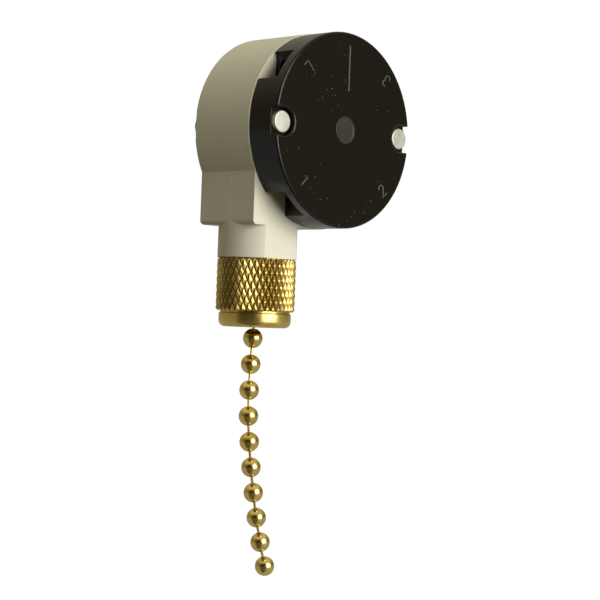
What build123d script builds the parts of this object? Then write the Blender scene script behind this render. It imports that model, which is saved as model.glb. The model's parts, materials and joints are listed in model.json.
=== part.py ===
from build123d import *

import os
from math import asin, atan2, cos, degrees, radians, sin, sqrt

# Pull chain switch for a fan: a round drum housing with an offset neck, a black cover that
# holds four push-in terminals, a knurled nut on the neck, and a ball chain that turns an
# indexing rotor through a ratchet.
#
# Frame: millimetres. The origin is on the neck's axis, where the neck's shoulder meets the
# panel that the switch hangs from. +Z is up, the chain hangs down, and the cover faces -Y.
# Depths are measured back from the cover's face, along the drum's axis.

# ---------------------------------------------------------------- driving dimensions
# casing
drum_radius = 15.9
drum_depth = 12.7
drum_height = 21.1  # drum axis above the neck's shoulder
wall = 1.6
cover_inset = 0.1  # cover rim inside the drum's side
cover_depth = 5.95
flange_depth = 1.7
edge_round = 0.7
cover_edge = 0.35
recess_depth = 0.45  # hollow behind the cover, where the contact feet stand
recess_reach = 2.1  # its edge beyond the notches' inner walls

# neck, thread and nut
neck_radius = 6.4
neck_depth = 11.3  # the neck's axis behind the cover's face
thread_radius = 4.75
thread_length = 8.2
thread_pitch = 0.94
thread_cut = 0.42
bead_clearance = 0.4
nut_radius = 6.4
nut_knurl_length = 8.5
nut_collar_radius = 5.85
nut_collar_length = 2.6
nut_thread_clearance = 0.08
nut_exit_clearance = 1.0  # the nut's exit hole round the balls
nut_base = 1.9
nut_gap = 0.05
nut_edge = 0.35
nut_collar_round = 1.1

# ball chain
bead_radius = 1.6
bead_shell = 0.25
bead_gap = 1.0  # between neighbouring balls
bead_hole_radius = 0.4
pin_radius = 0.22
pin_head_radius = 0.5
pin_head_offset = 0.62  # head centre to ball centre
hinge_play = 0.055
first_bead_drop = 12.9  # first ball below the neck's shoulder
leans = (-5, -3, -1, 2, 7, 9, 11, 13, 16, 18)  # each hanging ball's lean towards +X, degrees

# chain wheel
wheel_pitch_radius = 7.66
wheel_flange = 0.9
wheel_side_clearance = 0.15
wheel_root_clearance = 0.06
wheel_flange_margin = 0.34  # flange edge beyond the balls
wheel_hub_radius = 2.8
wheel_balls = 6
lug_play = 0.05  # to the ball on each side of the lug
lug_foot = 0.7  # how far the lug runs into the wheel's root
lug_slot = 0.8

# ratchet between wheel and rotor
teeth = 8
tooth_height = 0.6
tooth_length = 3.2
tooth_inner_radius = 5.0
tooth_outer_radius = 8.5
tooth_play = 0.1
ratchet_gap = 0.85  # wheel's face to rotor's back

# axle and rotor
axle_radius = 1.5
axle_clearance = 0.05
seat_clearance = 0.02
axle_front = 3.05
axle_wall = 0.65  # left behind the axle's blind seat
axle_chamfer = 0.2
rotor_radius = 10.9
rotor_thickness = 1.2
notch_radius = 0.9
contact_thickness = 0.4
contact_ring_radius = 6.2
contact_bore_radius = 2.4
contact_arm_radius = 10.6
contact_arm_width = 3.0

# wire entries and terminals, given for the entry that faces -X
wire_height = 9.3  # wire axis above the drum axis
wire_hole_radius = 1.15
notch_wall = 10.3  # the notch's inner wall, out from the drum axis
notch_width = 4.55
pocket_wall = 1.5
pocket_length = 5.9
pocket_width = 4.2
pad_thickness = 1.5
pad_margin = 0.3
terminal_thickness = 0.5
terminal_gap = 0.15
foot_depth = 0.45
foot_play = 0.05
foot_length = 2.6
foot_reach = 2.0
feed_arm_width = 1.6
feed_arm_end = 3.5  # how near the drum's axis line the live terminal's arm comes
clamp_thickness = 0.25
clamp_width = 2.8
clamp_bend = 0.2

# rivets
rivet_inset = 1.92  # each rivet's axis inside the cover's rim
rivet_radius = 1.2
rivet_head_radius = 1.75
rivet_head_depth = 0.43  # head's face behind the cover's face
rivet_recess_radius = 2.2
rivet_recess_depth = 1.25
rivet_back_recess = 0.5
rivet_boss_radius = 2.7
rivet_face_round = 0.2

# springs
spring_thickness = 0.3
spring_front_play = 0.2
spring_back_play = 0.7
spring_half_turns = 11
spring_inner_radius = 3.2
spring_step = 0.6  # radius gained each half turn
post_radius = 0.8
detent_width = 1.0
detent_tip = 10.4
detent_shoulder = (1.3, 11.75)
detent_pad_gap = 0.81  # the detent's end to the pad beside it
washer_radius = 3.4
washer_thickness = 0.3
washer_dish = 0.2
washer_play = 0.05
washer_back_play = 0.1

# ---------------------------------------------------------------- derived places
drum_x = wheel_pitch_radius  # the neck lies under the side of the wheel that the chain leaves
casing_depth = cover_depth + drum_depth
cavity_radius = drum_radius - wall
cavity_end = casing_depth - wall
boss_reach = cavity_radius + wall / 2  # bosses and pads run half way into the drum's wall
cover_radius = drum_radius - cover_inset
rivet_spread = cover_radius - rivet_inset  # each rivet's axis out from the drum axis
chain_bore_radius = bead_radius + bead_clearance
nut_exit_radius = bead_radius + nut_exit_clearance
bead_pitch = 2 * bead_radius + bead_gap
hinge_drop = bead_radius - bead_shell / 2 - hinge_play  # ball centre to its lower hole's wall
groove_width = 2 * (bead_radius + wheel_side_clearance)
groove_front = neck_depth - groove_width / 2
groove_end = groove_front + groove_width
wheel_front = groove_front - wheel_flange
wheel_back = groove_end + wheel_flange
wheel_hub_end = cavity_end - washer_back_play - washer_thickness - washer_dish - washer_play
wheel_flange_radius = wheel_pitch_radius + bead_radius + wheel_flange_margin
root_radius = wheel_pitch_radius - bead_radius - wheel_root_clearance
lug_thickness = bead_gap - 2 * lug_play
axle_back = casing_depth - axle_wall
rotor_back = wheel_front - ratchet_gap
rotor_front = rotor_back - rotor_thickness
contact_front = rotor_front - contact_thickness
foot_back = contact_front - foot_play
foot_front = foot_back - foot_depth
pocket_centre = notch_wall - pocket_wall - pocket_length / 2
pocket_floor = wire_height - pocket_width / 2  # the pocket's side nearest the drum's axis
wire_depth = (flange_depth + cover_depth) / 2
foot_base = pocket_floor + terminal_gap
rivet_hole_radius = rivet_radius + seat_clearance
spring_front = wheel_back + spring_front_play
spring_width = cavity_end - spring_back_play - spring_front
spring_outer_radius = (
    spring_inner_radius + spring_step * (spring_half_turns - 1) + spring_thickness / 2
)
detent_end_x = wire_height - notch_width / 2 - pad_margin - detent_pad_gap
detent_end_y = sqrt((cavity_radius - spring_thickness) ** 2 - detent_end_x**2)

os.makedirs("parts", exist_ok=True)


def save(builder, name):
    """Label a finished piece and write it as its own STEP file."""
    builder.part.label = name
    export_step(builder.part, f"parts/{name}.step")


def across(depth):
    """The plane across the drum's axis at a depth: X right, Y up, normal to the front."""
    return Plane(
        origin=(drum_x, depth - neck_depth, drum_height), x_dir=(1, 0, 0), z_dir=(0, -1, 0)
    )


def outward(quarter):
    """The drum's frame at the cover's face, turned so that its -X is a wire entry's mouth."""
    turn = radians(90 * quarter)
    return Plane(
        origin=across(0).origin, x_dir=(cos(turn), 0, sin(turn)), z_dir=(0, -1, 0)
    )


def wire_mouth(quarter):
    """The plane of a wire entry's mouth, facing out of it."""
    frame = outward(quarter)
    mouth = frame.from_local_coords(Vector(-notch_wall, wire_height, -wire_depth))
    return Plane(origin=mouth, x_dir=frame.z_dir, z_dir=-frame.x_dir)


# ---------------------------------------------------------------- chain layout
run_length = drum_height + first_bead_drop
run_balls = int(run_length / bead_pitch)
run_top_gap = run_length - run_balls * bead_pitch
wheel_step = 2 * asin(bead_pitch / 2 / wheel_pitch_radius)
run_centres = [
    Vector(0, 0, -first_bead_drop + bead_pitch * (run_balls - i)) for i in range(run_balls)
]


def wheel_angle(ball):
    """Where a ball lies on the wheel, as an angle from +X, counted from the tangent point."""
    return 180 - degrees((bead_pitch - run_top_gap) / wheel_pitch_radius + ball * wheel_step)


def down(lean):
    """The unit direction that hangs down, leaning towards +X by an angle in degrees."""
    return Vector(sin(radians(lean)), 0, -cos(radians(lean)))


hinge_points = [run_centres[-1] + down(0) * hinge_drop]
hanging_centres = []
for lean in leans:
    hanging_centres.append(hinge_points[-1] + down(lean) * (bead_pitch - hinge_drop))
    hinge_points.append(hinge_points[-1] + down(lean) * bead_pitch)


# ---------------------------------------------------------------- housing
with BuildPart() as housing:
    with BuildSketch(across(cover_depth)):
        Circle(drum_radius)
        with Locations((0, -drum_radius)):
            Rectangle(drum_x + neck_radius, drum_radius, align=(Align.MAX, Align.MIN))
    extrude(amount=-drum_depth)
    block_corner = housing.edges().filter_by(Axis.Y).sort_by(Axis.X)[0:2].sort_by(Axis.Z)[0]
    fillet(block_corner, edge_round)
    fillet(housing.faces().sort_by(Axis.Y)[-1].edges(), edge_round)
    # the neck, flat where it meets the plane of the housing's front face
    with BuildSketch(Plane.XY):
        Circle(neck_radius)
        with Locations((0, cover_depth - neck_depth)):
            Rectangle(
                4 * neck_radius,
                4 * neck_radius,
                align=(Align.CENTER, Align.MIN),
                mode=Mode.INTERSECT,
            )
    extrude(amount=drum_height - drum_radius + 2 * edge_round)
    # threaded nipple
    with BuildSketch(Plane.XY):
        Circle(thread_radius)
    extrude(amount=-thread_length)
    # cavity, then the chain's way out of it
    with BuildSketch(across(cover_depth)):
        Circle(cavity_radius)
    extrude(amount=-(drum_depth - wall), mode=Mode.SUBTRACT)
    with BuildSketch(Plane.XY.offset(-thread_length)):
        Circle(chain_bore_radius)
    extrude(amount=thread_length + drum_height, mode=Mode.SUBTRACT)
    # columns that the rivets pass through
    with BuildSketch(across(cover_depth)):
        with GridLocations(2 * rivet_spread, 0, 2, 1):
            Circle(rivet_boss_radius)
        Circle(boss_reach, mode=Mode.INTERSECT)
    extrude(amount=-(drum_depth - wall / 2))
    # pads that close the wire notches from behind
    with BuildSketch(across(cover_depth)):
        with PolarLocations(0, 4):
            with Locations((-(notch_wall - pad_margin), wire_height)):
                Rectangle(
                    drum_radius, notch_width + 2 * pad_margin, align=(Align.MAX, Align.CENTER)
                )
        Circle(boss_reach, mode=Mode.INTERSECT)
    extrude(amount=-pad_thickness)
    # the post that anchors the return spring, and the blind seat for the axle's back end
    with BuildSketch(across(cavity_end)):
        with Locations((-(spring_outer_radius + seat_clearance + post_radius), 0)):
            Circle(post_radius)
    extrude(amount=cavity_end - spring_front)
    with BuildSketch(across(cover_depth)):
        Circle(axle_radius + seat_clearance)
    extrude(amount=-(axle_back + seat_clearance - cover_depth), mode=Mode.SUBTRACT)
    # rivet holes and the shallow recesses around their clinched ends
    with BuildSketch(across(cover_depth)):
        with GridLocations(2 * rivet_spread, 0, 2, 1):
            Circle(rivet_hole_radius)
    extrude(amount=-drum_depth, mode=Mode.SUBTRACT)
    with BuildSketch(across(casing_depth)):
        with GridLocations(2 * rivet_spread, 0, 2, 1):
            Circle(rivet_recess_radius)
        with GridLocations(2 * (rivet_spread + rivet_recess_radius), 0, 2, 1):
            Rectangle(2 * rivet_recess_radius, 2 * rivet_recess_radius)
    extrude(amount=rivet_back_recess, mode=Mode.SUBTRACT)
    # thread: one ring groove for each turn
    grooves = int((thread_length - thread_pitch) / thread_pitch)
    with BuildSketch(Plane.XZ):
        with Locations(*[(thread_radius, -thread_pitch * (i + 1)) for i in range(grooves)]):
            RegularPolygon(thread_cut, 4, major_radius=True)
    revolve(axis=Axis.Z, mode=Mode.SUBTRACT)
save(housing, "housing")

# ---------------------------------------------------------------- cover
with BuildPart() as cover:
    with BuildSketch(across(0)):
        Circle(cover_radius)
    extrude(amount=-cover_depth)
    # wire notches between the flange and the housing's front face
    with BuildSketch(across(flange_depth)):
        with PolarLocations(0, 4):
            with Locations((-notch_wall, wire_height)):
                Rectangle(cover_radius, notch_width, align=(Align.MAX, Align.CENTER))
    extrude(amount=-(cover_depth - flange_depth), mode=Mode.SUBTRACT)
    # terminal pockets, open to the back
    with BuildSketch(across(flange_depth)):
        with PolarLocations(0, 4):
            with Locations((-pocket_centre, wire_height)):
                Rectangle(pocket_length, pocket_width)
    extrude(amount=-(cover_depth - flange_depth), mode=Mode.SUBTRACT)
    # hollow for the contact feet, and the seat for the axle's front end
    with BuildSketch(across(cover_depth - recess_depth)):
        Circle(notch_wall + recess_reach)
    extrude(amount=-recess_depth, mode=Mode.SUBTRACT)
    with BuildSketch(across(axle_front - seat_clearance)):
        Circle(axle_radius + seat_clearance)
    extrude(amount=-cover_depth, mode=Mode.SUBTRACT)
    # wire entries
    for quarter in range(4):
        with BuildSketch(wire_mouth(quarter)):
            Circle(wire_hole_radius)
        extrude(amount=-pocket_wall, mode=Mode.SUBTRACT)
    # rivet holes and recesses
    with BuildSketch(across(0)):
        with GridLocations(2 * rivet_spread, 0, 2, 1):
            Circle(rivet_hole_radius)
    extrude(amount=-cover_depth, mode=Mode.SUBTRACT)
    with BuildSketch(across(0)):
        with GridLocations(2 * rivet_spread, 0, 2, 1):
            Circle(rivet_recess_radius)
        with GridLocations(2 * (rivet_spread + rivet_recess_radius), 0, 2, 1):
            Rectangle(2 * rivet_recess_radius, 2 * rivet_recess_radius)
    extrude(amount=-rivet_recess_depth, mode=Mode.SUBTRACT)
    fillet(cover.faces().sort_by(Axis.Y)[0].edges(), cover_edge)
save(cover, "cover")

# ---------------------------------------------------------------- rivets
back_head_depth = casing_depth - rivet_back_recess
with BuildPart() as rivets:
    with BuildSketch(across(rivet_head_depth)):
        with GridLocations(2 * rivet_spread, 0, 2, 1):
            Circle(rivet_head_radius)
    extrude(amount=-(rivet_recess_depth - rivet_head_depth))
    fillet(rivets.faces().filter_by(Axis.Y).group_by(Axis.Y)[0].edges(), rivet_face_round)
    with BuildSketch(across(rivet_recess_depth)):
        with GridLocations(2 * rivet_spread, 0, 2, 1):
            Circle(rivet_radius)
    extrude(amount=-(back_head_depth - rivet_recess_depth))
    with BuildSketch(across(back_head_depth)):
        with GridLocations(2 * rivet_spread, 0, 2, 1):
            Circle(rivet_head_radius)
    extrude(amount=-rivet_back_recess + seat_clearance)
save(rivets, "rivets")

# ---------------------------------------------------------------- axle
with BuildPart() as axle:
    with BuildSketch(across(axle_front)):
        Circle(axle_radius)
    extrude(amount=-(axle_back - axle_front))
    chamfer(axle.edges().filter_by(GeomType.CIRCLE), axle_chamfer)
save(axle, "axle")


def depth_plane():
    """The plane that holds the drum's axis: X out from the axis, Y the depth."""
    return Plane(origin=(drum_x, -neck_depth, drum_height), x_dir=(1, 0, 0), z_dir=(0, 0, 1))


drum_axis = Axis((drum_x, 0, drum_height), (0, 1, 0))


def tooth_plane(index):
    """The plane across one ratchet tooth: X round the wheel the way a pull turns it, -Y the depth."""
    angle = radians(360 / teeth * index)
    out = Vector(cos(angle), 0, sin(angle))
    round_wheel = Vector(-sin(angle), 0, cos(angle))
    centre = Vector(drum_x, -neck_depth, drum_height)
    return Plane(origin=centre + out * tooth_inner_radius, x_dir=round_wheel, z_dir=out)


# ---------------------------------------------------------------- chain wheel
lug_angle = wheel_angle(wheel_balls - 1.5)
with BuildPart() as chain_wheel:
    for start, end, radius in (
        (wheel_front, groove_front, wheel_flange_radius),
        (groove_front, groove_end, root_radius),
        (groove_end, wheel_back, wheel_flange_radius),
        (wheel_back, wheel_hub_end, wheel_hub_radius),
    ):
        with BuildSketch(across(start)):
            Circle(radius)
        extrude(amount=start - end)
    # slotted lug that holds the chain's last ball
    with BuildSketch(across(groove_front)):
        with Locations(Location((0, 0, 0), (0, 0, lug_angle))):
            with Locations((root_radius - lug_foot, 0)):
                Rectangle(
                    wheel_flange_radius - root_radius + lug_foot,
                    lug_thickness,
                    align=(Align.MIN, Align.CENTER),
                )
    extrude(amount=-groove_width)
    with BuildSketch(across(neck_depth - lug_slot / 2)):
        with Locations(Location((0, 0, 0), (0, 0, lug_angle))):
            with Locations((wheel_pitch_radius - lug_slot / 2, 0)):
                Rectangle(wheel_flange_radius, 2 * lug_thickness, align=(Align.MIN, Align.CENTER))
    extrude(amount=-lug_slot, mode=Mode.SUBTRACT)
    # ratchet teeth: the steep faces push the rotor's
    for index in range(teeth):
        with BuildSketch(tooth_plane(index)):
            with BuildLine():
                Polyline(
                    (-tooth_play, -wheel_front),
                    (-tooth_play, -wheel_front + tooth_height),
                    (-tooth_play - tooth_length, -wheel_front),
                    close=True,
                )
            make_face()
        extrude(amount=tooth_outer_radius - tooth_inner_radius)
    with BuildSketch(across(wheel_front - tooth_height)):
        Circle(axle_radius + axle_clearance)
    extrude(amount=-wheel_hub_end, mode=Mode.SUBTRACT)
save(chain_wheel, "chain_wheel")

# ---------------------------------------------------------------- rotor and its contact plate
with BuildPart() as rotor:
    with BuildSketch(across(rotor_front)):
        Circle(rotor_radius)
        with PolarLocations(rotor_radius, 4):
            Circle(notch_radius, mode=Mode.SUBTRACT)
        Circle(axle_radius + axle_clearance, mode=Mode.SUBTRACT)
    extrude(amount=-rotor_thickness)
    for index in range(teeth):
        with BuildSketch(tooth_plane(index)):
            with BuildLine():
                Polyline(
                    (0, -rotor_back),
                    (0, -rotor_back - tooth_height),
                    (tooth_length, -rotor_back),
                    close=True,
                )
            make_face()
        extrude(amount=tooth_outer_radius - tooth_inner_radius)
save(rotor, "rotor")

foot_place = Vector(-pocket_centre, foot_base + foot_reach / 2)
with BuildPart() as contact_plate:
    with BuildSketch(across(contact_front)):
        with Locations(Location((0, 0, 0), (0, 0, degrees(atan2(foot_place.Y, foot_place.X))))):
            Rectangle(rotor_radius, contact_arm_width, align=(Align.MIN, Align.CENTER))
        Circle(contact_arm_radius, mode=Mode.INTERSECT)
        Circle(contact_ring_radius)
        Circle(contact_bore_radius, mode=Mode.SUBTRACT)
    extrude(amount=-contact_thickness)
save(contact_plate, "contact_plate")

# ---------------------------------------------------------------- terminals and wire clamps
clamp_roof = wire_height + pocket_width / 2 - terminal_gap - clamp_thickness / 2
clamp_back = pocket_length / 2 - terminal_gap - clamp_thickness / 2
for quarter, label in enumerate(("line", "low", "medium", "high")):
    frame = outward(quarter)
    with BuildPart() as terminal:
        with BuildSketch(frame.offset(-(flange_depth + terminal_gap))):
            with Locations((-pocket_centre, foot_base)):
                Rectangle(
                    pocket_length - 2 * terminal_gap,
                    terminal_thickness,
                    align=(Align.CENTER, Align.MIN),
                )
        extrude(amount=-(foot_back - flange_depth - terminal_gap))
        with BuildSketch(frame.offset(-foot_front)):
            with Locations((-pocket_centre, foot_base)):
                Rectangle(foot_length, foot_reach, align=(Align.CENTER, Align.MIN))
            if label == "line":
                with Locations((-pocket_centre + foot_length / 2, foot_base + terminal_thickness)):
                    Rectangle(
                        feed_arm_width,
                        foot_base + terminal_thickness - feed_arm_end,
                        align=(Align.MAX, Align.MAX),
                    )
        extrude(amount=-foot_depth)
    save(terminal, f"terminal_{label}")

    with BuildPart() as clamp:
        with BuildSketch(frame.offset(-(wire_depth - clamp_width / 2))):
            with BuildLine():
                Line(
                    (-pocket_centre - clamp_back, clamp_roof),
                    (-pocket_centre + clamp_back - clamp_bend, clamp_roof),
                )
                CenterArc(
                    (-pocket_centre + clamp_back - clamp_bend, clamp_roof - clamp_bend),
                    clamp_bend,
                    -90,
                    180,
                )
                Line(
                    (-pocket_centre + clamp_back - clamp_bend, clamp_roof - 2 * clamp_bend),
                    (-pocket_centre - clamp_back / 2, clamp_roof - 2 * clamp_bend),
                )
            trace(line_width=clamp_thickness)
        extrude(amount=-clamp_width)
    save(clamp, f"wire_clamp_{label}")

# ---------------------------------------------------------------- springs
with BuildPart() as return_spring:
    with BuildSketch(across(spring_front)):
        with BuildLine():
            for turn in range(spring_half_turns):
                odd = turn % 2
                CenterArc(
                    (spring_step * odd, 0),
                    spring_inner_radius + spring_step * turn,
                    180 * odd,
                    180,
                )
        trace(line_width=spring_thickness)
    extrude(amount=-spring_width)
save(return_spring, "return_spring")

with BuildPart() as detent_spring:
    with BuildSketch(across(rotor_front + (rotor_thickness - detent_width) / 2)):
        with BuildLine():
            Polyline(
                (detent_end_x, detent_end_y),
                detent_shoulder,
                (0, detent_tip),
                (-detent_shoulder[0], detent_shoulder[1]),
                (-detent_end_x, detent_end_y),
            )
        trace(line_width=spring_thickness)
    extrude(amount=-detent_width)
save(detent_spring, "detent_spring")

with BuildPart() as spring_washer:
    washer_front = wheel_hub_end + washer_play
    with BuildSketch(depth_plane()):
        with BuildLine():
            Polyline(
                (axle_radius + axle_clearance, washer_front + washer_dish),
                (washer_radius, washer_front),
                (washer_radius, washer_front + washer_thickness),
                (axle_radius + axle_clearance, washer_front + washer_dish + washer_thickness),
                close=True,
            )
        make_face()
    revolve(axis=drum_axis)
save(spring_washer, "spring_washer")

# ---------------------------------------------------------------- nut
nut_end = nut_knurl_length + nut_collar_length
with BuildPart() as knurled_nut:
    with BuildSketch(Plane.XY.offset(-nut_gap)):
        Circle(nut_radius)
    extrude(amount=-(nut_knurl_length - nut_gap))
    chamfer(knurled_nut.edges().filter_by(GeomType.CIRCLE), nut_edge)
    with BuildSketch(Plane.XY.offset(-nut_knurl_length + nut_edge)):
        Circle(nut_collar_radius)
    extrude(amount=-nut_collar_length - nut_edge)
    fillet(knurled_nut.faces().sort_by(Axis.Z)[0].edges(), nut_collar_round)
    with BuildSketch(Plane.XY.offset(-nut_gap)):
        Circle(thread_radius + nut_thread_clearance)
    extrude(amount=-(nut_end - nut_base - nut_gap), mode=Mode.SUBTRACT)
    with BuildSketch(Plane.XY.offset(-nut_end)):
        Circle(nut_exit_radius)
    extrude(amount=nut_end, mode=Mode.SUBTRACT)
save(knurled_nut, "knurled_nut")

# ---------------------------------------------------------------- ball chain
pin_length = bead_pitch - 2 * pin_head_offset

with BuildPart() as ball:
    Sphere(bead_radius)
    Sphere(bead_radius - bead_shell, mode=Mode.SUBTRACT)
    Cylinder(bead_hole_radius, 3 * bead_radius, mode=Mode.SUBTRACT)

with BuildPart() as pin:
    Cylinder(pin_radius, pin_length)
    with Locations((0, 0, pin_length / 2), (0, 0, -pin_length / 2)):
        Sphere(pin_head_radius)


def along(centre, direction):
    """The place of a ball or pin with its axis along a direction."""
    return Plane(origin=centre, x_dir=(0, 1, 0), z_dir=direction).location


def on_wheel(ball_number):
    """A wheel ball's centre and the direction of its holes."""
    angle = radians(wheel_angle(ball_number))
    centre = Vector(drum_x, 0, drum_height) + Vector(cos(angle), 0, sin(angle)) * wheel_pitch_radius
    return centre, Vector(-sin(angle), 0, cos(angle))


with BuildPart() as wheel_chain_balls:
    for number in range(wheel_balls):
        with Locations(along(*on_wheel(number))):
            add(ball.part)
save(wheel_chain_balls, "wheel_chain_balls")

with BuildPart() as wheel_chain_pins:
    for number in range(wheel_balls - 1):
        lower, lower_way = on_wheel(number)
        upper, upper_way = on_wheel(number + 1)
        lower_hole = lower - lower_way * hinge_drop
        upper_hole = upper + upper_way * hinge_drop
        with Locations(along((lower_hole + upper_hole) / 2, upper_hole - lower_hole)):
            add(pin.part)
save(wheel_chain_pins, "wheel_chain_pins")

with BuildPart() as neck_chain_balls:
    with Locations(*run_centres):
        add(ball.part)
save(neck_chain_balls, "neck_chain_balls")

with BuildPart() as neck_chain_pins:
    with Locations(*[centre - Vector(0, 0, bead_pitch / 2) for centre in run_centres[:-1]]):
        add(pin.part)
save(neck_chain_pins, "neck_chain_pins")

for number, (lean, centre) in enumerate(zip(leans, hanging_centres), start=1):
    with BuildPart() as hanging_ball:
        with Locations(along(centre, down(lean) * -1)):
            add(ball.part)
    save(hanging_ball, f"chain_ball_{number:02d}")
    with BuildPart() as hanging_pin:
        with Locations(along(centre - down(lean) * (bead_pitch / 2), down(lean) * -1)):
            add(pin.part)
    save(hanging_pin, f"chain_pin_{number:02d}")
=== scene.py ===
import json
import math

import bmesh
import bpy
from mathutils import Matrix, Vector


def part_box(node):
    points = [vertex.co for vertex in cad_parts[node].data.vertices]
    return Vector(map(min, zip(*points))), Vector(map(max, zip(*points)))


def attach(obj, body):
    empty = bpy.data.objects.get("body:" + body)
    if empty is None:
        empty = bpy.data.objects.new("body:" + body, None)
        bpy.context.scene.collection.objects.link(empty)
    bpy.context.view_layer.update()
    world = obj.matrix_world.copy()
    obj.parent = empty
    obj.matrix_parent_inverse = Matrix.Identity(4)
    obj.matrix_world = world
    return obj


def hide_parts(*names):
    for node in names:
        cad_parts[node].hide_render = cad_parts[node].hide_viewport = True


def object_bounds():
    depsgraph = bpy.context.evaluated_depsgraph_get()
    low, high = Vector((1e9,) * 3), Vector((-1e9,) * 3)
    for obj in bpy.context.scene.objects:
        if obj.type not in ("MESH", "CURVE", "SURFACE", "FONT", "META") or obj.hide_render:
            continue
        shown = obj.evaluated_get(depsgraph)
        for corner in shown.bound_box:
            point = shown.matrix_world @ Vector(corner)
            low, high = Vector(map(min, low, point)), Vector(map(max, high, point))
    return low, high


# The looks of a pull chain fan switch: a cream moulded housing, a black cover with raised
# marks, a knurled brass nut and a brass ball chain. Metres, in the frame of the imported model:
# origin on the neck's axis at its shoulder, +Z up, the cover facing -Y.

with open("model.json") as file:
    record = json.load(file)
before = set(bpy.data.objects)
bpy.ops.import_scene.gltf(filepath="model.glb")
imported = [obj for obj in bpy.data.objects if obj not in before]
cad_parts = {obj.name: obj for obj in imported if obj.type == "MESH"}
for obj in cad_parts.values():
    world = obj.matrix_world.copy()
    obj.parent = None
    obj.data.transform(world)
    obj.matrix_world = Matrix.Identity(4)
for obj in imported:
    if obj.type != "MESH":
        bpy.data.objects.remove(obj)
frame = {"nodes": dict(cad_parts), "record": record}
cad_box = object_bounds()
nodes = frame["nodes"]
MM = 0.001

# ---------------------------------------------------------------- places, all from the frame
cover_low, cover_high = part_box("cover")
nut_low, nut_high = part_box("knurled_nut")
drum_centre = (cover_low + cover_high) / 2
cover_face = cover_low.y


# ---------------------------------------------------------------- material helpers
PARTING_PLACE = -0.06 * MM  # the housing's mould line, on Y
PARTING_WIDTH = 0.14 * MM
PARTING_HEIGHT = 0.05 * MM
PARTING_PAINTED_HIGHLIGHT = 0.12  # how far the line is painted paler towards white, a painted highlight along the ridge
EDGE_SOFTNESS = 0.25 * MM  # radius that shading gives to moulded edges
PLASTIC_SPECULAR = 0.35
SPECK_CELLS = 900.0  # dust specks to the metre, one in each cell
SPECK_COLOUR = (0.4, 0.38, 0.3, 1)
KNURL_GROOVE_PAINTED_SHADE = (0.2, 0.16, 0.1, 1)  # painted shade darkening the grooves between the knurl's diamonds
CUT_ROUGHNESS = 0.18
WHITE = (1, 1, 1, 1)


class Nodes:
    """A material's node tree with short ways to add and link nodes."""

    def __init__(self, name):
        self.material = bpy.data.materials.new(name)
        self.material.use_nodes = True
        self.tree = self.material.node_tree
        self.shader = self.tree.nodes["Principled BSDF"]
        self.place = self.add("ShaderNodeTexCoord").outputs["Object"]

    def add(self, kind, **settings):
        node = self.tree.nodes.new(kind)
        for key, value in settings.items():
            if key in node.inputs:
                node.inputs[key].default_value = value
            else:
                setattr(node, key, value)
        return node

    def link(self, start, end):
        self.tree.links.new(start, end)

    def noise(self, scale, detail=2.0, rough=0.5, stretch=(1, 1, 1)):
        """Noise at `scale` features to the metre."""
        mapping = self.add("ShaderNodeMapping", Scale=stretch)
        self.link(self.place, mapping.inputs["Vector"])
        noise = self.add("ShaderNodeTexNoise", Scale=scale, Detail=detail, Roughness=rough)
        self.link(mapping.outputs["Vector"], noise.inputs["Vector"])
        return noise.outputs["Fac"]

    def ramp(self, source, stops):
        """A colour ramp over (position, grey or colour) stops."""
        ramp = self.add("ShaderNodeValToRGB")
        elements = ramp.color_ramp.elements
        while len(elements) < len(stops):
            elements.new(0.5)
        for element, (place, colour) in zip(elements, stops):
            element.position = place
            element.color = (*colour, 1) if isinstance(colour, tuple) else (colour,) * 3 + (1,)
        self.link(source, ramp.inputs["Fac"])
        return ramp.outputs["Color"]

    def bump(self, source, height, strength=1.0, under=None):
        """Bump from a 0 to 1 source, its full height in metres."""
        bump = self.add("ShaderNodeBump", Strength=strength, Distance=height)
        self.link(source, bump.inputs["Height"])
        if under:
            self.link(under, bump.inputs["Normal"])
        return bump.outputs["Normal"]

    def set(self, **values):
        """Set or link the shader's inputs, and return the material."""
        for key, value in values.items():
            socket = self.shader.inputs[key.replace("_", " ")]
            if isinstance(value, bpy.types.NodeSocket):
                self.link(value, socket)
            else:
                socket.default_value = value
        return self.material


def parting_line(m, depth):
    """1 along the mould's parting line, a plane at a place on the Y axis, and 0 away from it."""
    split = m.add("ShaderNodeSeparateXYZ")
    m.link(m.place, split.inputs[0])
    near = m.add("ShaderNodeMath", operation="COMPARE")
    m.link(split.outputs["Y"], near.inputs[0])
    near.inputs[1].default_value = depth
    near.inputs[2].default_value = PARTING_WIDTH / 2
    return near.outputs[0]


def with_specks(m, colour, strength):
    """A colour with a few pale specks of dust over it, in loose groups."""
    cells = m.add("ShaderNodeTexVoronoi", Scale=SPECK_CELLS)
    m.link(m.place, cells.inputs["Vector"])
    near = m.ramp(cells.outputs["Distance"], [(0.05, 1.0), (0.13, 0.0)])
    few = m.ramp(m.noise(120, detail=1), [(0.53, 0.0), (0.67, strength)])
    spots = m.add("ShaderNodeMath", operation="MULTIPLY")
    m.link(near, spots.inputs[0])
    m.link(few, spots.inputs[1])
    dusty = m.add("ShaderNodeMix", data_type="RGBA")
    m.link(spots.outputs[0], dusty.inputs["Factor"])
    m.link(colour, dusty.inputs["A"])
    dusty.inputs["B"].default_value = SPECK_COLOUR
    return dusty.outputs["Result"]


def with_painted_highlight_line(m, colour, line):
    """A colour painted a little paler along the parting line, a painted highlight on its ridge."""
    paler = m.add("ShaderNodeMix", data_type="RGBA", blend_type="ADD")
    fade = m.add("ShaderNodeMath", operation="MULTIPLY")
    m.link(line, fade.inputs[0])
    fade.inputs[1].default_value = PARTING_PAINTED_HIGHLIGHT
    m.link(fade.outputs[0], paler.inputs["Factor"])
    m.link(colour, paler.inputs["A"])
    paler.inputs["B"].default_value = WHITE
    return paler.outputs["Result"]


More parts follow.
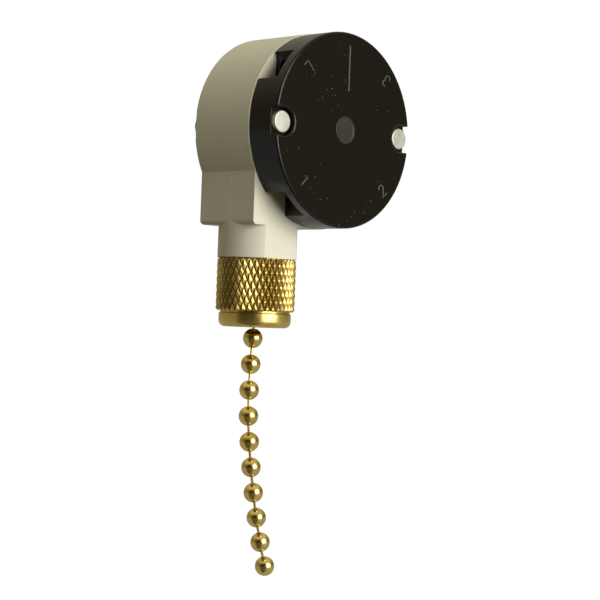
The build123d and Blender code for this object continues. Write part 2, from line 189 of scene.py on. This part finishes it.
def moulded_plastic(name, light, dark, roughness, grain, line_at=None, specks=0.0):
    """Moulded plastic: two close tones in soft clouds, flow marks and a fine skin."""
    m = Nodes(name)
    clouds = m.noise(90, detail=3)
    skin = m.noise(3200, detail=4, rough=0.6)
    flow = m.noise(260, detail=2, stretch=(1, 0.25, 1))
    rounded = m.add("ShaderNodeBevel", samples=6, Radius=EDGE_SOFTNESS).outputs["Normal"]
    colour = m.ramp(clouds, [(0.3, dark), (0.7, light)])
    if specks:
        colour = with_specks(m, colour, specks)
    if line_at is not None:
        line = parting_line(m, line_at)
        rounded = m.bump(line, PARTING_HEIGHT, 0.6, rounded)
        # painted highlight along the parting line
        colour = with_painted_highlight_line(m, colour, line)
    return m.set(
        Base_Color=colour,
        Roughness=m.ramp(skin, [(0.3, roughness - 0.05), (0.7, roughness + 0.07)]),
        Normal=m.bump(skin, grain, 0.5, m.bump(flow, 3 * grain, 0.3, rounded)),
        Specular_IOR_Level=PLASTIC_SPECULAR,
    )


def metal(name, light, dark, roughness, scratch_height):
    """Metal with an uneven tone, fine scratches, smudged polish, and knurl grooves that are rougher
    and darkened with painted shade.
    """
    m = Nodes(name)
    tone = m.noise(420, detail=3)
    smudge = m.noise(900, detail=4, rough=0.6)
    scratches = m.noise(5200, detail=3)
    colour = m.ramp(tone, [(0.35, dark), (0.65, light)])
    cut = m.add("ShaderNodeAttribute", attribute_name="cut").outputs["Fac"]
    # painted shade: the colour is darkened the deeper the knurl's groove
    shade = m.add("ShaderNodeMix", data_type="RGBA", blend_type="MULTIPLY")
    m.link(cut, shade.inputs["Factor"])
    m.link(colour, shade.inputs["A"])
    shade.inputs["B"].default_value = KNURL_GROOVE_PAINTED_SHADE
    polish = m.ramp(smudge, [(0.3, max(roughness - 0.05, 0.03)), (0.75, roughness + 0.08)])
    rough = m.add("ShaderNodeMath", operation="MULTIPLY_ADD")
    m.link(cut, rough.inputs[0])
    rough.inputs[1].default_value = CUT_ROUGHNESS
    m.link(polish, rough.inputs[2])
    return m.set(
        Base_Color=shade.outputs["Result"],
        Metallic=1.0,
        Roughness=rough.outputs[0],
        Normal=m.bump(scratches, scratch_height, 0.5),
    )


materials = {
    "cream_plastic": moulded_plastic(
        "cream_plastic",
        light=(0.83, 0.8, 0.645),
        dark=(0.79, 0.755, 0.59),
        roughness=0.3,
        grain=0.003 * MM,
        line_at=PARTING_PLACE,
    ),
    "black_plastic": moulded_plastic(
        "black_plastic",
        light=(0.0042, 0.0037, 0.0022),
        dark=(0.0028, 0.0025, 0.0014),
        roughness=0.2,
        grain=0.0015 * MM,
        specks=0.35,
    ),
    "nylon": moulded_plastic(
        "nylon",
        light=(0.8, 0.79, 0.74),
        dark=(0.76, 0.75, 0.7),
        roughness=0.45,
        grain=0.004 * MM,
    ),
    "rivet_alloy": metal(
        "rivet_alloy",
        light=(0.66, 0.65, 0.56),
        dark=(0.54, 0.53, 0.46),
        roughness=0.5,
        scratch_height=0.004 * MM,
    ),
    "nut_brass": metal(
        "nut_brass",
        light=(0.8, 0.61, 0.21),
        dark=(0.67, 0.48, 0.135),
        roughness=0.28,
        scratch_height=0.002 * MM,
    ),
    "chain_brass": metal(
        "chain_brass",
        light=(0.85, 0.65, 0.23),
        dark=(0.72, 0.52, 0.15),
        roughness=0.18,
        scratch_height=0.001 * MM,
    ),
    "terminal_brass": metal(
        "terminal_brass",
        light=(0.78, 0.6, 0.3),
        dark=(0.68, 0.5, 0.22),
        roughness=0.3,
        scratch_height=0.002 * MM,
    ),
    "spring_steel": metal(
        "spring_steel",
        light=(0.6, 0.6, 0.6),
        dark=(0.48, 0.48, 0.49),
        roughness=0.3,
        scratch_height=0.002 * MM,
    ),
}
# black plastic painted paler on the raised marks, a painted highlight for the light they catch
# where they stand up
painted_highlight_marks_plastic = moulded_plastic(
    "painted_highlight_marks_plastic",
    light=(0.13, 0.125, 0.1),
    dark=(0.075, 0.072, 0.058),
    roughness=0.3,
    grain=0.0015 * MM,
)
disc_plastic = moulded_plastic(
    "disc_plastic",
    light=(0.042, 0.04, 0.031),
    dark=(0.024, 0.023, 0.017),
    roughness=0.32,
    grain=0.0015 * MM,
)

for part in frame["record"]["subparts"]:
    mesh = nodes[part["node"]].data
    mesh.materials.clear()
    mesh.materials.append(materials[part["material_slot"]])


# ---------------------------------------------------------------- mesh helpers
def piece(name, mesh, body, slot, smooth=True, finish=None):
    """A new piece of the object from a bmesh: it rides on a body and takes a slot's finish."""
    data = bpy.data.meshes.new(name)
    mesh.to_mesh(data)
    mesh.free()
    if smooth:
        data.polygons.foreach_set("use_smooth", [True] * len(data.polygons))
    data.materials.append(finish or materials[slot])
    made = bpy.data.objects.new(name, data)
    bpy.context.scene.collection.objects.link(made)
    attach(made, body)
    return made


# ---------------------------------------------------------------- knurled nut
KNURLS = 40
KNURL_SAMPLES = 8  # mesh steps over one diamond's width and height
KNURL_HEIGHT = 2.33 * MM
KNURL_DEPTH = 0.27 * MM
KNURL_TIP = 0.22  # share of the groove's depth that the diamond's tip is worn down by
KNURL_CHAMFER = 0.3 * MM
COLLAR_LENGTH = 2.6 * MM
COLLAR_RADIUS = 5.85 * MM
COLLAR_ROUND = 1.0 * MM
COLLAR_NECK = 0.22 * MM
BORE_RADIUS = 4.83 * MM
EXIT_RADIUS = 2.6 * MM
NUT_BASE = 1.9 * MM  # thickness round the exit hole
KNURL_SHARP_ANGLE = 32
LIP_STEPS = 6


def groove(place):
    """How deep a V groove is at a place measured in grooves: 1 at a whole number, 0 half way."""
    return 1 - 2 * abs(place - round(place))


def knurl_depth(column, row):
    """The depth below the diamonds' tips at a point of the knurl's grid, 0 to 1."""
    cut = max(groove((column + row) / KNURL_SAMPLES), groove((column - row) / KNURL_SAMPLES))
    return max(cut - KNURL_TIP, 0) / (1 - KNURL_TIP)


def make_nut():
    """The nut: a diamond knurl, a plain collar with a rounded lip, and the bore."""
    centre = (nut_low + nut_high) / 2
    top, bottom = nut_high.z, nut_low.z
    radius = (nut_high.x - nut_low.x) / 2
    knurl_end = bottom + COLLAR_LENGTH
    columns = KNURLS * KNURL_SAMPLES
    rows = round((top - knurl_end) / KNURL_HEIGHT * KNURL_SAMPLES)
    step = (top - knurl_end) / rows

    rings = []
    for row in range(rows + 1):
        z = top - row * step
        edge = radius - KNURL_CHAMFER + min(top - z, z - knurl_end)
        rings.append(
            (z, [min(radius - KNURL_DEPTH * knurl_depth(i, row), edge) for i in range(columns)])
        )
    turns = [math.pi / 2 * i / LIP_STEPS for i in range(LIP_STEPS + 1)]
    lip = [(1 - math.cos(t), math.sin(t)) for t in turns]
    plain = [
        (COLLAR_RADIUS - COLLAR_NECK, knurl_end),
        (COLLAR_RADIUS - COLLAR_NECK, knurl_end - COLLAR_NECK),
        (COLLAR_RADIUS, knurl_end - 2 * COLLAR_NECK),
    ]
    plain += [
        (COLLAR_RADIUS - COLLAR_ROUND * inwards, bottom + COLLAR_ROUND * (1 - down))
        for inwards, down in lip
    ]
    plain += [
        (EXIT_RADIUS, bottom),
        (EXIT_RADIUS, bottom + NUT_BASE),
        (BORE_RADIUS, bottom + NUT_BASE),
        (BORE_RADIUS, top),
    ]
    rings += [(z, [r] * columns) for r, z in plain]

    mesh = bmesh.new()
    loops = []
    for z, radii in rings:
        loop = []
        for column, r in enumerate(radii):
            angle = 2 * math.pi * column / columns
            loop.append(
                mesh.verts.new((centre.x + r * math.cos(angle), centre.y + r * math.sin(angle), z))
            )
        loops.append(loop)
    loops.append(loops[0])
    for row, (upper, lower) in enumerate(zip(loops, loops[1:])):
        for column in range(columns):
            after = (column + 1) % columns
            a, b, c, d = upper[column], upper[after], lower[after], lower[column]
            if row >= rows:
                mesh.faces.new((a, d, c, b))
            elif (column + row + 1) % KNURL_SAMPLES == 0:
                mesh.faces.new((a, d, b))
                mesh.faces.new((b, d, c))
            else:
                mesh.faces.new((a, d, c))
                mesh.faces.new((a, c, b))
    nut = piece("nut_knurled", mesh, "nut", "nut_brass")
    # the groove's depth at each point, read by the brass's painted shade and roughness
    cut = nut.data.attributes.new("cut", "FLOAT", "POINT")
    for row in range(rows + 1):
        for column in range(columns):
            cut.data[row * columns + column].value = knurl_depth(column, row) ** 2
    nut.data.set_sharp_from_angle(angle=math.radians(KNURL_SHARP_ANGLE))
    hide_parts("knurled_nut")


make_nut()

# ---------------------------------------------------------------- raised marks on the cover
MARK_WIDTH = 0.3 * MM
MARK_HEIGHT = 0.13 * MM
MARK_SINK = 0.05 * MM
CENTRE_MARK_RADIUS = 2.1 * MM
CENTRE_MARK_HEIGHT = 0.02 * MM
GAUGE_X = 0.45 * MM
GAUGE_FROM, GAUGE_TO = 6.4 * MM, 13.6 * MM


def raised_stroke(mesh, points):
    """A raised stroke with sloping sides along points in the cover's face, X right and Y up."""
    foot, top = 0.5, 0.3  # half widths, in strokes' widths
    profile = [(-foot, -MARK_SINK), (-top, MARK_HEIGHT), (top, MARK_HEIGHT), (foot, -MARK_SINK)]
    sections = []
    for i, point in enumerate(points):
        before, after = points[max(i - 1, 0)], points[min(i + 1, len(points) - 1)]
        way = (Vector(after) - Vector(before)).normalized()
        side = Vector((way.y, -way.x))
        reach = way * MARK_WIDTH / 2 * ((i == len(points) - 1) - (i == 0))
        section = []
        for across, out in profile:
            place = Vector(point) + side * across * MARK_WIDTH
            if out < 0:
                place += reach
            section.append(
                mesh.verts.new(
                    (drum_centre.x + place.x, cover_face - out, drum_centre.z + place.y)
                )
            )
        sections.append(section)
    for one, two in zip(sections, sections[1:]):
        for k in range(3):
            mesh.faces.new((one[k], one[k + 1], two[k + 1], two[k]))
        mesh.faces.new((one[3], one[0], two[0], two[3]))
    mesh.faces.new(sections[0][::-1])
    mesh.faces.new(sections[-1])


def arc(centre, radius, start, end, steps=10):
    """Points along an arc, angles in degrees."""
    angles = [math.radians(start + (end - start) * i / steps) for i in range(steps + 1)]
    return [(centre[0] + radius * math.cos(t), centre[1] + radius * math.sin(t)) for t in angles]


# strokes of each terminal's mark, in a cell 1 wide and 1.6 tall about its middle
GLYPHS = {
    "L": [[(-0.4, 0.8), (-0.4, -0.8), (0.4, -0.8)]],
    "1": [[(-0.35, 0.45), (0.05, 0.8), (0.05, -0.8)]],
    "2": [arc((0, 0.35), 0.45, 160, -35) + [(-0.5, -0.8), (0.5, -0.8)]],
    "3": [arc((0, 0.42), 0.38, 150, -80), arc((0, -0.35), 0.45, 80, -150)],
}
GLYPH_SIZE = 1.25 * MM
# each terminal's mark and its place from the drum's axis, millimetres; its top points inwards
MARKS = [("L", -8.9, 9.0), ("1", -9.0, -8.8), ("2", 9.5, -9.0), ("3", 9.5, 9.1)]


def make_marks():
    """The terminal marks and the strip gauge."""
    mesh = bmesh.new()
    for sign, x, y in MARKS:
        spin = Matrix.Rotation(math.atan2(y, x) + math.pi / 2, 2)
        for stroke in GLYPHS[sign]:
            raised_stroke(
                mesh, [Vector((x, y)) * MM + spin @ Vector(p) * GLYPH_SIZE for p in stroke]
            )
    raised_stroke(mesh, [(GAUGE_X, GAUGE_FROM), (GAUGE_X, GAUGE_TO)])
    # the marks take the plastic painted paler, a painted highlight
    piece("cover_marks", mesh, "casing", "black_plastic", smooth=False, finish=painted_highlight_marks_plastic)


def make_centre_disc():
    """The round mark in the middle of the cover, with its raised ring."""
    mesh = bmesh.new()
    ring = arc((0, 0), CENTRE_MARK_RADIUS, 0, 350, 35)
    raised_stroke(mesh, ring + ring[:1])
    rim = [
        mesh.verts.new((drum_centre.x + x, cover_face - CENTRE_MARK_HEIGHT, drum_centre.z + y))
        for x, y in ring
    ]
    mesh.faces.new(rim)
    piece("centre_disc", mesh, "casing", "black_plastic", smooth=False, finish=disc_plastic)


make_marks()
make_centre_disc()

# ---------------------------------------------------------------- camera
CAMERA_AZIMUTH = -46.2
CAMERA_ELEVATION = -0.53
CAMERA_ROLL = 2.14
CAMERA_DISTANCE = 282.2 * MM
CAMERA_LENS = 105.26
CAMERA_SENSOR = 36
CAMERA_NEAR = 10 * MM
LOOKED_AT = Vector((3.54, -6.63, -6.43)) * MM


def towards(azimuth, elevation):
    """A unit vector at an azimuth from the cover's front, towards +X, and an elevation, degrees."""
    azimuth, elevation = math.radians(azimuth), math.radians(elevation)
    return Vector(
        (
            math.sin(azimuth) * math.cos(elevation),
            -math.cos(azimuth) * math.cos(elevation),
            math.sin(elevation),
        )
    )


def place_camera():
    """The camera at the reference viewing angle, for a square picture."""
    data = bpy.data.cameras.new("camera")
    data.lens = CAMERA_LENS
    data.sensor_width = CAMERA_SENSOR
    data.clip_start = CAMERA_NEAR
    camera = bpy.data.objects.new("camera", data)
    back = towards(CAMERA_AZIMUTH, CAMERA_ELEVATION)
    turn = back.to_track_quat("Z", "Y").to_matrix().to_4x4()
    roll = Matrix.Rotation(math.radians(CAMERA_ROLL), 4, "Z")
    camera.matrix_world = Matrix.Translation(LOOKED_AT + back * CAMERA_DISTANCE) @ turn @ roll
    bpy.context.scene.collection.objects.link(camera)
    bpy.context.scene.camera = camera


place_camera()

# ---------------------------------------------------------------- floor, light and world
FLOOR_DROP = 24 * MM
FLOOR_RADIUS = 6.0
FLOOR_COLOUR = (0.14, 0.133, 0.1, 1)
FLOOR_GLOW = 0.3  # how brightly the metal sees the floor
KEY_AZIMUTH = 3
KEY_ELEVATION = 10
KEY_DISTANCE = 0.6
KEY_SIZE = 0.54
KEY_POWER = 4.35
BACKDROP = (1.0, 1.0, 1.0)  # what the camera sees
WALLS = (0.027, 0.024, 0.008)
WALLS_IN_METAL = (0.21, 0.185, 0.1)  # the walls as reflections see them
BACK_WALL = (0.33, 0.307, 0.225)
BACK_WALL_SIDE = (0.35, 0.94, 0)
CEILING = (0.66, 0.63, 0.47)
UNLIT = (0.02, 0.018, 0.012)
DARK_SIDE = (-0.88, -0.47, -0.05)  # towards the unlit side of the room, where the camera stands
DARK_SPREAD = (0.6, 0.9)  # cosines of the angle from it where the dark fades in and is full


def lay_floor():
    """A plain pale floor under the hanging chain."""
    mesh = bmesh.new()
    bmesh.ops.create_circle(mesh, cap_ends=True, segments=96, radius=FLOOR_RADIUS)
    data = bpy.data.meshes.new("floor")
    mesh.to_mesh(data)
    mesh.free()
    floor = bpy.data.objects.new("floor", data)
    floor.location.z = cad_box[0][2] - FLOOR_DROP
    bpy.context.scene.collection.objects.link(floor)
    m = Nodes("floor")
    m.set(Base_Color=FLOOR_COLOUR, Roughness=0.8, Specular_IOR_Level=0.1, Emission_Color=WHITE)
    path = m.add("ShaderNodeLightPath")
    way = m.add("ShaderNodeVectorMath", operation="NORMALIZE")
    m.link(m.place, way.inputs[0])
    dark = m.add("ShaderNodeVectorMath", operation="DOT_PRODUCT")
    m.link(way.outputs["Vector"], dark.inputs[0])
    dark.inputs[1].default_value = DARK_SIDE
    glow = m.add("ShaderNodeMapRange", interpolation_type="SMOOTHSTEP")
    glow.inputs["From Min"].default_value, glow.inputs["From Max"].default_value = DARK_SPREAD
    glow.inputs["To Min"].default_value, glow.inputs["To Max"].default_value = FLOOR_GLOW, 0
    m.link(dark.outputs["Value"], glow.inputs["Value"])
    lift = m.add("ShaderNodeMath", operation="MULTIPLY_ADD")
    m.link(path.outputs["Is Glossy Ray"], lift.inputs[0])
    m.link(glow.outputs["Result"], lift.inputs[1])
    m.link(path.outputs["Is Camera Ray"], lift.inputs[2])
    m.link(lift.outputs[0], m.shader.inputs["Emission Strength"])
    data.materials.append(m.material)


def light_key():
    """A round soft light almost straight in front of the cover."""
    data = bpy.data.lights.new("key", "AREA")
    data.shape = "DISK"
    data.size = KEY_SIZE
    data.energy = KEY_POWER
    lamp = bpy.data.objects.new("key", data)
    away = towards(KEY_AZIMUTH, KEY_ELEVATION)
    lamp.matrix_world = (
        Matrix.Translation(drum_centre + away * KEY_DISTANCE)
        @ away.to_track_quat("Z", "Y").to_matrix().to_4x4()
    )
    bpy.context.scene.collection.objects.link(lamp)


def light_world():
    """White behind the object for the camera; for the light, a dim warm room under a pale top."""
    world = bpy.data.worlds.new("studio")
    world.use_nodes = True
    bpy.context.scene.world = world
    tree = world.node_tree
    background = tree.nodes["Background"]
    place = tree.nodes.new("ShaderNodeTexCoord")

    def lobe(side, low, high, value):
        """A value that fades in between two cosines of the angle from a direction."""
        dot = tree.nodes.new("ShaderNodeVectorMath")
        dot.operation = "DOT_PRODUCT"
        dot.inputs[1].default_value = Vector(side).normalized()
        tree.links.new(place.outputs["Generated"], dot.inputs[0])
        fade = tree.nodes.new("ShaderNodeMapRange")
        fade.interpolation_type = "SMOOTHSTEP"
        fade.inputs["From Min"].default_value = low
        fade.inputs["From Max"].default_value = high
        fade.inputs["To Min"].default_value = 0
        fade.inputs["To Max"].default_value = value
        tree.links.new(dot.outputs["Value"], fade.inputs["Value"])
        return fade.outputs["Result"]

    def mix(factor, one, two):
        """A blend from one to two, each a colour or a socket."""
        blend = tree.nodes.new("ShaderNodeMix")
        blend.data_type = "RGBA"
        tree.links.new(factor, blend.inputs["Factor"])
        for socket, colour in ((blend.inputs["A"], one), (blend.inputs["B"], two)):
            if isinstance(colour, tuple):
                socket.default_value = (*colour, 1)
            else:
                tree.links.new(colour, socket)
        return blend.outputs["Result"]

    path = tree.nodes.new("ShaderNodeLightPath")
    room = mix(path.outputs["Is Glossy Ray"], WALLS, WALLS_IN_METAL)
    room = mix(lobe(BACK_WALL_SIDE, 0.15, 0.85, 1.0), room, BACK_WALL)
    room = mix(lobe((0, 0, 1), 0.25, 0.9, 1.0), room, CEILING)
    room = mix(lobe(DARK_SIDE, *DARK_SPREAD, 0.95), room, UNLIT)
    shown = mix(path.outputs["Is Camera Ray"], room, BACKDROP)
    tree.links.new(shown, background.inputs["Color"])


lay_floor()
light_world()
light_key()
bpy.context.scene.view_settings.view_transform = "Standard"
